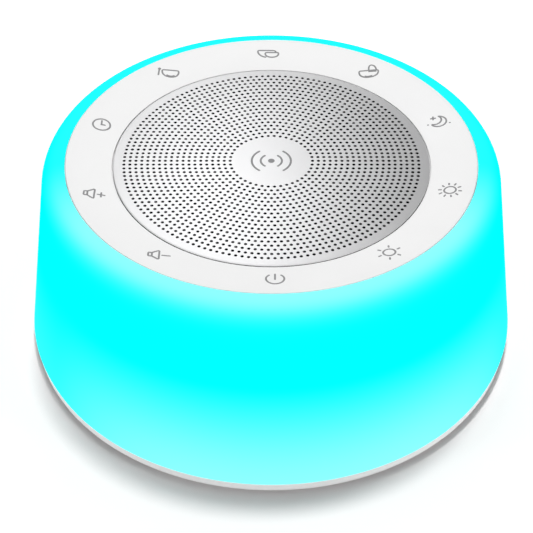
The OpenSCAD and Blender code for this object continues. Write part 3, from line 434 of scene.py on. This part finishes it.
def make_grille():
    """Rings of round holes: ring k lies at k pitches and has 6k holes. Each hole sits in a cell with
    twelve points round its edge, joined to the hole's twelve points; the gaps between rings of cells are
    filled by triangles between the two circles' points, taken in the order of their angles."""
    sides, band, first_turn = 12, 0.36, 0.625
    flat, quads, tris, circles, holes = [], [], [], [], []
    count = 0
    for k in range(FIRST_HOLE_RING, LAST_HOLE_RING + 1):
        n, r = 6 * k, k * HOLE_PITCH
        cell = np.arange(n)
        a = TURN / n * (cell[:, None] - 0.5 + np.arange(3) / 3)
        near, far = r - band * HOLE_PITCH, r + band * HOLE_PITCH
        inner = near * np.stack([np.cos(a), np.sin(a)], -1)
        outer = far * np.stack([np.cos(a), np.sin(a)], -1)
        share = np.array([1, 2]) / 3
        side_r = near + (far - near) * share
        side = side_r[None, :, None] * np.stack([np.cos(a[:, 0]), np.sin(a[:, 0])], -1)[:, None]
        turn = TURN * (first_turn + np.arange(sides) / sides)
        middle = TURN / n * cell
        out = np.stack([np.cos(middle), np.sin(middle)], -1)
        along = np.stack([-np.sin(middle), np.cos(middle)], -1)
        hole = r * out[:, None] + HOLE_R * (
            np.cos(turn)[None, :, None] * out[:, None] + np.sin(turn)[None, :, None] * along[:, None])
        i0, o0, s0, h0 = count, count + 3 * n, count + 6 * n, count + 8 * n
        after = (cell + 1) % n
        edge = np.stack([
            i0 + 3 * cell, s0 + 2 * cell, s0 + 2 * cell + 1,
            o0 + 3 * cell, o0 + 3 * cell + 1, o0 + 3 * cell + 2,
            o0 + 3 * after, s0 + 2 * after + 1, s0 + 2 * after,
            i0 + 3 * after, i0 + 3 * cell + 2, i0 + 3 * cell + 1], -1)
        rim = h0 + sides * cell[:, None] + np.arange(sides)
        quads.append(np.stack([edge, np.roll(edge, -1, 1), np.roll(rim, -1, 1), rim], -1).reshape(-1, 4))
        holes.append(rim)
        flat += [inner.reshape(-1, 2), outer.reshape(-1, 2), side.reshape(-1, 2), hole.reshape(-1, 2)]
        circles.append((a.reshape(-1) % TURN, i0 + np.arange(3 * n), o0 + np.arange(3 * n)))
        count += (8 + sides) * n
    for (angle_a, _, outer_a), (angle_b, inner_b, _) in zip(circles, circles[1:]):
        order_a, order_b = np.argsort(angle_a), np.argsort(angle_b)
        first, second = outer_a[order_a], inner_b[order_b]
        both = np.concatenate([angle_a[order_a], angle_b[order_b]])
        from_first = np.arange(len(both)) < len(first)
        order = np.argsort(both, kind="stable")
        is_first = from_first[order]
        i, j = np.cumsum(is_first) - 1, np.cumsum(~is_first) - 1
        here_a, here_b = first[i % len(first)], second[j % len(second)]
        last_a, last_b = first[(i - 1) % len(first)], second[(j - 1) % len(second)]
        tris.append(np.where(is_first[:, None], np.stack([last_a, here_b, here_a], -1),
                             np.stack([here_a, last_b, here_b], -1)))
    centre_loop = circles[0][1]
    rim_angle, _, rim_loop = circles[-1]
    tris.append(np.stack([np.full(len(centre_loop), count), centre_loop, np.roll(centre_loop, -1)], -1))
    flat.append([[0.0, 0.0]])
    flat, quads, tris, holes = [np.concatenate(rows) for rows in (flat, quads, tris, holes)]
    layer = len(flat)
    top, low = GRILLE_TOP_Z, GRILLE_TOP_Z - GRILLE_T
    hole_next = np.roll(holes, -1, 1)
    walls = np.stack([holes, hole_next, hole_next + layer, holes + layer], -1).reshape(-1, 4)
    bend, guard = 0.2, 0.05
    edge_outline = np.concatenate([
        [[GRILLE_R - bend - guard, top]],
        arc([GRILLE_R - bend, top - bend], bend, 90, 0, 6),
        arc([GRILLE_R - bend, low + bend], bend, 0, -90, 6),
        [[GRILLE_R - bend - guard, low]]])
    rows, columns = len(edge_outline), len(rim_angle)
    rim_rows = 2 * layer + np.arange(rows * columns).reshape(rows, columns)
    chain = np.concatenate([rim_loop[None], rim_rows, rim_loop[None] + layer])
    upper, lower = chain[:-1], chain[1:]
    rim = np.stack([upper, lower, np.roll(lower, -1, 1), np.roll(upper, -1, 1)], -1).reshape(-1, 4)
    points = np.concatenate([
        np.c_[flat, np.full(layer, top)], np.c_[flat, np.full(layer, low)], turned(edge_outline, rim_angle)])
    sheet = [quads, tris, quads[:, ::-1] + layer, tris[:, ::-1] + layer]
    # Painted shade: the edge is coloured nearly black from where the upper bend ends, as are the hole walls
    shade_from_row = 6
    plain = np.zeros(sum(map(len, sheet)), bool)
    painted_shade_rim = np.repeat(np.arange(rows + 1) >= shade_from_row, columns)
    indices = np.concatenate([plain, painted_shade_rim, np.ones(len(walls), bool)])
    return make_piece("grille", points, [*sheet, rim, walls], [grille_silver, painted_shade_edge], indices=indices)


# Printed marks: strips of even width with round ends

INK_W = 0.43
INK_LIFT, INK_SINK = 0.02, 0.04
INK_STEP = 0.25


def line(*corners):
    """A straight run of points between each two corners."""
    corners = np.asarray(corners, float)
    t = np.linspace(0, len(corners) - 1, 6 * (len(corners) - 1) + 1)
    i = np.minimum(t.astype(int), len(corners) - 2)
    return corners[i] + (t - i)[:, None] * (corners[i + 1] - corners[i])


def bow(middle, radius_x, radius_y, start, end, count=30):
    """Points of an ellipse at evenly spaced angles in degrees from start to end."""
    return np.asarray(middle) + arc([0, 0], 1, start, end, count) * [radius_x, radius_y]


def rays(count, first, near, far):
    """Short straight runs that point away from the middle, at even angles."""
    turn = np.radians(first + 360 * np.arange(count) / count)
    out = np.c_[np.cos(turn), np.sin(turn)]
    return [line(near * o, far * o) for o in out]


def strip(path, width, closed):
    """A strip along a path: at each point the two edges lie half the width to the sides, square to the
    path, and at an open end the half width shrinks as the cosine while the path runs on as the sine."""
    half = width / 2
    if closed:
        ahead, back = np.roll(path, -1, 0), np.roll(path, 1, 0)
        heading = ahead - back
        widths = np.full(len(path), half)
    else:
        # The last angle stops short of 90 degrees, so that the end keeps a little width
        turn = np.radians([18, 36, 54, 72, 88])
        tip, tail = path[-1] - path[-2], path[0] - path[1]
        tip, tail = tip / np.linalg.norm(tip), tail / np.linalg.norm(tail)
        widths = np.concatenate([half * np.cos(turn[::-1]), np.full(len(path), half), half * np.cos(turn)])
        path = np.concatenate([
            path[0] + half * np.sin(turn[::-1])[:, None] * tail, path,
            path[-1] + half * np.sin(turn)[:, None] * tip])
        heading = np.gradient(path, axis=0)
    heading = heading / np.linalg.norm(heading, axis=1, keepdims=True)
    side = np.c_[-heading[:, 1], heading[:, 0]] * widths[:, None]
    return path + side, path - side


def printed(name, marks, height):
    """All strips as thin closed slabs draped on a surface, whose height is a function of x and y."""
    points, faces, count = [], [], 0
    for path, width, closed in marks:
        left, right = strip(path, width, closed)
        n = len(left)
        ring = np.stack([left, right, right, left], 1)
        lift = np.array([INK_LIFT, INK_LIFT, -INK_SINK, -INK_SINK])
        z = height(ring[..., 0], ring[..., 1]) + lift
        points.append(np.concatenate([ring, z[..., None]], -1).reshape(-1, 3))
        along = np.arange(n if closed else n - 1)
        ahead = (along + 1) % n
        corner = np.arange(4)
        turn = (corner + 1) % 4
        faces.append((count + np.stack([
            4 * along[:, None] + corner, 4 * along[:, None] + turn,
            4 * ahead[:, None] + turn, 4 * ahead[:, None] + corner], -1)).reshape(-1, 4))
        if not closed:
            faces.append(count + np.array([[3, 2, 1, 0]]))
            faces.append(count + 4 * (n - 1) + np.array([[0, 1, 2, 3]]))
        count += 4 * n
    return make_piece(name, np.concatenate(points), faces, [print_ink], smooth_angle=40)


def even(path):
    """The same path with a point about every quarter millimetre of its length."""
    run = np.r_[0, np.cumsum(np.linalg.norm(np.diff(path, axis=0), axis=1))]
    at = np.linspace(0, run[-1], max(3, int(run[-1] / INK_STEP)))
    return np.c_[np.interp(at, run, path[:, 0]), np.interp(at, run, path[:, 1])]


def bowl(x, y, w, h):
    """A bowl under its rim's middle: below the rim's round corners x goes as the cosine and the depth as
    the sine to the power 3/4, which makes a full, flat-bottomed curve."""
    corner = 0.35
    turn = np.linspace(0, math.pi, 40)
    side = np.c_[x - w / 2 * np.cos(turn), y - corner - (h - corner) * np.sin(turn) ** 0.75]
    return np.concatenate([
        side, bow((x + w / 2 - corner, y - corner), corner, corner, 10, 90, 8),
        bow((x - w / 2 + corner, y - corner), corner, corner, 90, 170, 8), side[:1]])


def horn(box_h, mouth_h):
    """A loudspeaker seen from the side: a small box and a horn that opens from it."""
    outline = rounded([
        (-2.5, -box_h, 0.12), (-1.68, -box_h, 0.2), (-0.25, -mouth_h, 0.15),
        (-0.03, -mouth_h, 0.15), (-0.03, mouth_h, 0.15), (-0.25, mouth_h, 0.15),
        (-1.68, box_h, 0.2), (-2.5, box_h, 0.12)])
    return [np.concatenate([outline, outline[:1]]), line((-1.66, box_h), (-1.66, -box_h))]


# Ten touch signs on one circle, from the front counter-clockwise: the strokes of each in millimetres from
# its middle, and its dots with their radii
SIGN_R, FIRST_SIGN = 44.57, 270.95
back_bowl = np.concatenate([
    bow((-0.35, 0.86), 2.39, 2.1, 262, 182, 20), bow((-2.39, 0.86), 0.35, 0.35, 171, 90, 8),
    line((-2.3, 1.21), (1.2, 1.21)), bow((1.3, 0.52), 0.76, 0.69, 90, 12, 10)])
dome = np.concatenate([
    line((0.05, 0.2), (0.05, 0.9)), bow((0.78, 0.9), 0.73, 1.36, 180, 90, 12),
    bow((0.78, 0.3), 1.2, 1.96, 86, 4, 16)])
SIGNS = [
    # Power
    ([bow((0, -0.04), 2.06, 2.04, 131, 409), line((-0.03, 1.95), (-0.03, -0.3))], []),
    # Dimmer and brighter light
    ([bow((0, 0), 1.4, 1.34, 0, 360), *rays(6, 90, 2.24, 2.78)], []),
    ([bow((0, 0), 1.4, 1.36, 0, 360), *rays(10, 90, 2.16, 2.66)], []),
    # Night light: a moon, a cross-shaped star and two small ones
    ([bow((-0.05, -0.06), 1.95, 1.96, 86, -148), bow((-0.95, 0.6), 1.66, 1.66, 46, -114),
      line((-1.84, 1.34), (-0.76, 1.33)), line((-1.31, 1.86), (-1.31, 0.84))],
     [(-1.31, 1.34, 0.3), (-2.69, -0.8, 0.24), (2.69, -1.04, 0.24)]),
    # Three bowls: with a domed thing in it, two together, and one with its beater
    ([bowl(0, 0.25, 5.0, 2.45), dome, line((0.1, -0.16), (1.9, -0.2)),
      bow((-0.1, -0.15), 1.9, 1.78, 245, 295, 12)], []),
    ([bowl(0.98, 0.45, 3.5, 1.7), back_bowl], []),
    ([bowl(0.43, 1.1, 4.3, 2.5), bow((0.5, 0.75), 1.7, 1.84, 238, 302, 12),
      line((-2.48, 1.3), (-2.66, -0.95))],
     [(-2.46, 1.4, 0.44)]),
    # Timer
    ([bow((0, 0), 2.16, 2.14, 0, 360), line((0, 1.45), (0, -0.03), (0.84, -0.06))], [(0, 0, 0.26)]),
    # Louder and softer
    ([*horn(0.76, 1.8), line((0.76, -0.05), (2.42, -0.05)), line((1.58, 0.8), (1.58, -0.88))], []),
    ([*horn(0.7, 1.72), line((0.7, -0.13), (2.44, -0.13))], []),
]


def make_signs():
    """Each sign upright to someone in front, moved to its place and draped on the ring's face."""
    marks = []
    for k, (strokes, dots) in enumerate(SIGNS):
        place = math.radians(FIRST_SIGN + 360 / len(SIGNS) * k)
        middle = SIGN_R * np.array([math.cos(place), math.sin(place)])
        for path in map(even, strokes):
            closed = bool(np.allclose(path[0], path[-1]))
            marks.append((path[:-1] + middle if closed else path + middle, INK_W, closed))
        for x, y, radius in dots:
            marks.append((bow((x, y), radius / 2, radius / 2, 0, 360, 13)[:-1] + middle, radius, True))
    return printed("touch_signs", marks, lambda x, y: ring_face_z(np.hypot(x, y)))


def make_middle_mark():
    """A plain sound sign: a dot and two bows on each side of it."""
    dot_r, dot_w, bow_w, half_sweep = 0.42, 0.8, 0.5, 52
    marks = [(bow((0, 0), dot_r, dot_r, 0, 360, 25)[:-1], dot_w, True)]
    for r in (2.6, 4.8):
        for side in (0, 180):
            marks.append((bow((0, 0), r, r, side - half_sweep, side + half_sweep), bow_w, False))
    return printed("middle_mark", marks, lambda x, y: GRILLE_TOP_Z + 0 * x)


shell = make_shell()
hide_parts("diffuser_shell")
ring = make_ring()
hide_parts("touch_ring")
grille = make_grille()
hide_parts("speaker_grille")
make_signs()
make_middle_mark()

# The lamp's light stays on the white frame inside, so the studio floor keeps its neutral white
inside = bpy.data.collections.new("lamp_lit")
inside.objects.link(frame["nodes"]["inner_frame"])
shell.light_linking.receiver_collection = inside


# Finishes of the CAD nodes

FINISHES = {
    "base_plastic": base_abs,
    # Natural rubber, moulded: nearly black, dull, with a fine bloom
    "rubber": mottled("rubber_moulded_black", "#333336", "#3d3d40", 0.8, 0.5, 0.02),
    # Zinc-plated steel screws: bright, slightly clouded
    "screw_steel": mottled(
        "steel_zinc_plated", "#b9bbbd", "#c8cacc", 0.32, 0.4, 0.004, cloud_mm=3, Metallic=1.0),
    # Polyester cloth in a plain weave of 0.4 mm threads, dyed black
    "dust_cloth": woven("polyester_plain_weave_black", "#070708", "#141416", 0.9, 0.4, 0.06),
    # ABS moulded in a plain tool: clean white
    "frame_plastic": mottled("abs_plain_white", "#ecece9", "#f2f2f0", 0.45, 0.5, 0.006),
    # Open-cell foam with pores about 0.8 mm wide
    "foam": pored("polyurethane_foam_black", "#1f2023", "#34353a", 0.95, 0.8, 0.2),
    # Fibreglass board under green lacquer, with copper tracks 1 mm apart that show through
    "circuit_board": tracked("fibreglass_green_lacquer", "#1b6234", "#2a7e49", 0.4, 1.0, 6.0),
    # Fibreglass board under white lacquer, with wide tracks that show faintly
    "white_board": tracked("fibreglass_white_lacquer", "#e9e9e5", "#f1f1ee", 0.45, 2.0, 9.0),
    # Copper wire in turns 0.3 mm apart, as on the coil
    "copper": banded("copper_bare_wound", "#a86a3c", "#cd9160", 0.3, 0.3, 0.03, along="Z", Metallic=1.0),
    # Moulded epoxy: black, with a faint grain
    "chip_plastic": mottled("epoxy_moulded_black", "#232325", "#2b2b2d", 0.6, 0.3, 0.01, cloud_mm=4),
    # Flat cable: pale jacket with a conductor every millimetre
    "ribbon_plastic": banded("pvc_flat_cable_pale", "#bcc1c6", "#d8dcdf", 0.5, 1.0, 0.12),
    # Pressed steel under black powder coat with a fine orange peel
    "basket_steel": mottled("steel_powder_coat_black", "#393b3f", "#434549", 0.5, 0.7, 0.03),
    # Plated low-carbon steel, faced on a lathe: turning lines drawn 0.5 mm apart so that they show
    "pole_steel": banded(
        "steel_turned_plated", "#8f9599", "#a5abaf", 0.35, 0.5, 0.01, "RINGS", "Z", Metallic=1.0),
    # Sintered ferrite: dark and stony
    "ferrite": mottled("ferrite_sintered", "#242526", "#303132", 0.7, 0.6, 0.03, cloud_mm=5),
    # Pressed paper pulp: black, with short fibres
    "cone_paper": mottled("paper_pulp_pressed_black", "#323232", "#404040", 0.9, 0.8, 0.08, cloud_mm=2),
    # Cotton cloth stiffened with amber resin, 0.6 mm threads
    "spider_cloth": woven("cotton_resin_dipped", "#b18c45", "#d0ac68", 0.8, 0.6, 0.08),
    # Soft PVC insulation: red, slightly shiny
    "lead_plastic": mottled("pvc_insulation_red", "#a92124", "#bb2c2f", 0.4, 0.4, 0.005, cloud_mm=4),
    # Lamp resin over yellow phosphor: smooth and shiny
    "lamp_resin": mottled(
        "silicone_phosphor_yellow", "#f7eeb4", "#fdf6cc", 0.2, 0.4, 0.004, cloud_mm=1.5, Coat_Weight=0.5),
    # Drawn stainless steel: fine lines along the draw, 0.25 mm apart so that they show
    "socket_steel": banded("steel_stainless_drawn", "#aeb1b6", "#c2c5ca", 0.3, 0.25, 0.004, Metallic=1.0),
}
for row in frame["record"]["subparts"]:
    finish = FINISHES.get(row["material_slot"])
    if finish:
        mesh = frame["nodes"][row["node"]].data
        mesh.materials.clear()
        mesh.materials.append(finish)


# The driver's two springs, the spider and the surround, stand in place of their CAD nodes and don't ride on
# the housing

SPRING_T = 0.4
SPIDER_R, SPIDER_Z = (9.9, 11.3, 16.45, 19.25), 34.1
SPIDER_WAVES, SPIDER_WAVE_H = 4, 0.5
ROLL_MIDDLE, ROLL_R = (26.7, 46.4), 1.5
LAND_IN_R, LAND_OUT_R = 23.8, 29.6


def spider_outline():
    """A flat land, then four sines along the radius, then a flat land, with half the cloth's thickness on
    each side."""
    inner_r, first_r, last_r, outer_r = SPIDER_R
    t = np.linspace(0, 1, 49)
    waves = np.c_[first_r + (last_r - first_r) * t,
                  SPIDER_Z + SPIDER_WAVE_H * np.sin(TURN * SPIDER_WAVES * t)]
    middle = np.concatenate([[[inner_r, SPIDER_Z]], waves, [[outer_r, SPIDER_Z]]])
    half = [0, SPRING_T / 2]
    return np.concatenate([middle - half, (middle + half)[::-1]])


def surround_outline():
    """Two flat lands with a half circle of rubber between them, inner circle first and outer circle
    back."""
    low, high = ROLL_MIDDLE[1], ROLL_MIDDLE[1] + SPRING_T
    land = math.degrees(math.asin(SPRING_T / ROLL_R))
    return np.concatenate([
        [[LAND_IN_R, low]], arc(ROLL_MIDDLE, ROLL_R - SPRING_T, 180, 0, 17),
        [[LAND_OUT_R, low], [LAND_OUT_R, high]],
        arc(ROLL_MIDDLE, ROLL_R, land, 180 - land, 17), [[LAND_IN_R, high]]])


def make_spring(name, node, slot, outline):
    """An outline turned about Z, made into a piece that doesn't ride on the housing, with its transform
    baked, in place of the hidden CAD node."""
    points, faces = lathe(outline, SPRING_COLUMNS)
    spring = make_piece(name, points, [faces], [FINISHES[slot]], rides=False)
    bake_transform(spring)
    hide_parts(node)


make_spring("cone_spider", "spider", "spider_cloth", spider_outline())
make_spring("cone_surround", "surround", "rubber", surround_outline())


# Stage: white floor, soft lights and the camera, in metres

FLOOR_REACH = 4.0
GLOW_START, GLOW_END = 0.066, 0.22
GLOW_LEAST, GLOW_MOST = 0.02, 1.0
LAMP_DISTANCE, LAMP_AIM_Z = 1.2, 0.04


def seen_rays(tree):
    """One for rays that show a thing to the camera, straight or by way of metal or glass, else zero."""
    path = add(tree, "ShaderNodeLightPath").outputs
    some = add(tree, "ShaderNodeMath", {0: path["Is Camera Ray"], 1: path["Is Glossy Ray"]},
               operation="MAXIMUM")
    return add(tree, "ShaderNodeMath", {0: some.outputs[0], 1: path["Is Transmission Ray"]},
               operation="MAXIMUM").outputs[0]


def make_floor():
    """A flat square of white paper. It glows a little by the part, where it keeps the shadow, and turns
    white further out."""
    made, tree, shader, at = new_material(
        "paper_white", Base_Color=linear("#fffcfc"), Roughness=0.9, Specular_IOR_Level=0.1,
        Emission_Color=(1, 1, 1, 1))
    away = add(tree, "ShaderNodeVectorMath", {0: at}, operation="LENGTH").outputs["Value"]
    glow = add(tree, "ShaderNodeMapRange", {
        "Value": away, "From Min": GLOW_START, "From Max": GLOW_END, "To Min": GLOW_LEAST,
        "To Max": GLOW_MOST}, interpolation_type="SMOOTHSTEP").outputs["Result"]
    strength = add(tree, "ShaderNodeMath", {0: seen_rays(tree), 1: glow}, operation="MULTIPLY")
    tree.links.new(strength.outputs[0], shader.inputs["Emission Strength"])
    mesh = bpy.data.meshes.new("floor")
    corners = FLOOR_REACH * np.array([[-1, -1, 0], [1, -1, 0], [1, 1, 0], [-1, 1, 0]])
    mesh.from_pydata(corners.tolist(), [], [(0, 1, 2, 3)])
    mesh.materials.append(made)
    floor = bpy.data.objects.new("floor", mesh)
    bpy.context.scene.collection.objects.link(floor)


def make_light(name, azimuth, elevation, radius, radiance, mirrored=True):
    """A round soft lamp that faces the middle of the part; its power is pi times its area times its
    radiance."""
    lamp = bpy.data.lights.new(name, "AREA")
    lamp.shape = "DISK"
    lamp.size = 2 * radius
    lamp.energy = math.pi * math.pi * radius ** 2 * radiance
    a, e = math.radians(azimuth), math.radians(elevation)
    out, up = LAMP_DISTANCE * math.cos(e), LAMP_DISTANCE * math.sin(e)
    lit = bpy.data.objects.new(name, lamp)
    lit.location = (out * math.cos(a), out * math.sin(a), LAMP_AIM_Z + up)
    lit.rotation_euler = (math.pi / 2 - e, 0, a + math.pi / 2)
    lit.visible_glossy = mirrored
    bpy.context.scene.collection.objects.link(lit)


make_floor()
# One softbox shines in the satin metal, two keys cast the shadow, and three low fills light the base
make_light("softbox_rear", 93.8, 41.4, 0.137, 1.8)
make_light("key_high", 76, 79.6, 0.088, 121.0, mirrored=False)
make_light("key_side", 126, 79.5, 0.088, 25.0, mirrored=False)
make_light("fill_left", 202, 4, 0.1, 34.0)
make_light("fill_front", 262, 3, 0.1, 11.0, mirrored=False)
make_light("fill_right", 333, 4, 0.1, 37.0)

world = bpy.data.worlds.new("studio")
bpy.context.scene.world = world
world.use_nodes = True
sky = world.node_tree
sky_coordinates = sky.nodes.new("ShaderNodeTexCoord").outputs["Generated"]
part = add(sky, "ShaderNodeSeparateXYZ", {"Vector": sky_coordinates}).outputs
seen = seen_rays(sky)


def sky_level(lights, looks):
    """How strongly a height of the sky lights a surface, and how bright it looks in metal and to the
    camera."""
    return add(sky, "ShaderNodeMapRange", {
        "Value": seen, "To Min": lights, "To Max": looks}).outputs["Result"]


# Low down the sky looks white and lights as a grey; above that it is darker, most at the rear, and it is
# brighter again overhead
LOW_LIGHTS, LOW_LOOKS = 0.46, 1.0
HIGH_LIGHTS, FRONT_LOOKS, REAR_LOOKS, TOP_LOOKS = 0.23, 0.62, 0.29, 0.8
rear = add(sky, "ShaderNodeMapRange", {
    "Value": part["Y"], "From Min": 0.2, "From Max": 0.65, "To Min": FRONT_LOOKS, "To Max": REAR_LOOKS},
    interpolation_type="SMOOTHSTEP").outputs["Result"]
rising = add(sky, "ShaderNodeMapRange", {
    "Value": part["Z"], "From Min": 0.2, "From Max": 0.5,
    "To Min": sky_level(LOW_LIGHTS, LOW_LOOKS), "To Max": sky_level(HIGH_LIGHTS, rear)},
    interpolation_type="SMOOTHSTEP").outputs["Result"]
bright = add(sky, "ShaderNodeMapRange", {
    "Value": part["Z"], "From Min": 0.75, "From Max": 0.95,
    "To Min": rising, "To Max": sky_level(HIGH_LIGHTS, TOP_LOOKS)}, interpolation_type="SMOOTHSTEP")
sky.nodes["Background"].inputs["Color"].default_value = (1, 1, 1, 1)
sky.links.new(bright.outputs["Result"], sky.nodes["Background"].inputs["Strength"])

# The camera stands about 38 degrees above the grille's middle and looks down by its tilt
camera = bpy.data.objects.new("camera", bpy.data.cameras.new("camera"))
bpy.context.scene.collection.objects.link(camera)
tilt, distance, shift_x, shift_up = math.radians(41.7367), 384.199, -1.1875, -25.9486
camera.location = (shift_x * MM, (shift_up * math.sin(tilt) - distance * math.cos(tilt)) * MM,
                   (GRILLE_TOP_Z + shift_up * math.cos(tilt) + distance * math.sin(tilt)) * MM)
camera.rotation_euler = (math.pi / 2 - tilt, 0, 0)
camera.data.sensor_width = 36
camera.data.lens = 105.715
camera.data.clip_start, camera.data.clip_end = 0.01, 20
bpy.context.scene.camera = camera
bpy.context.scene.view_settings.view_transform = "Standard"
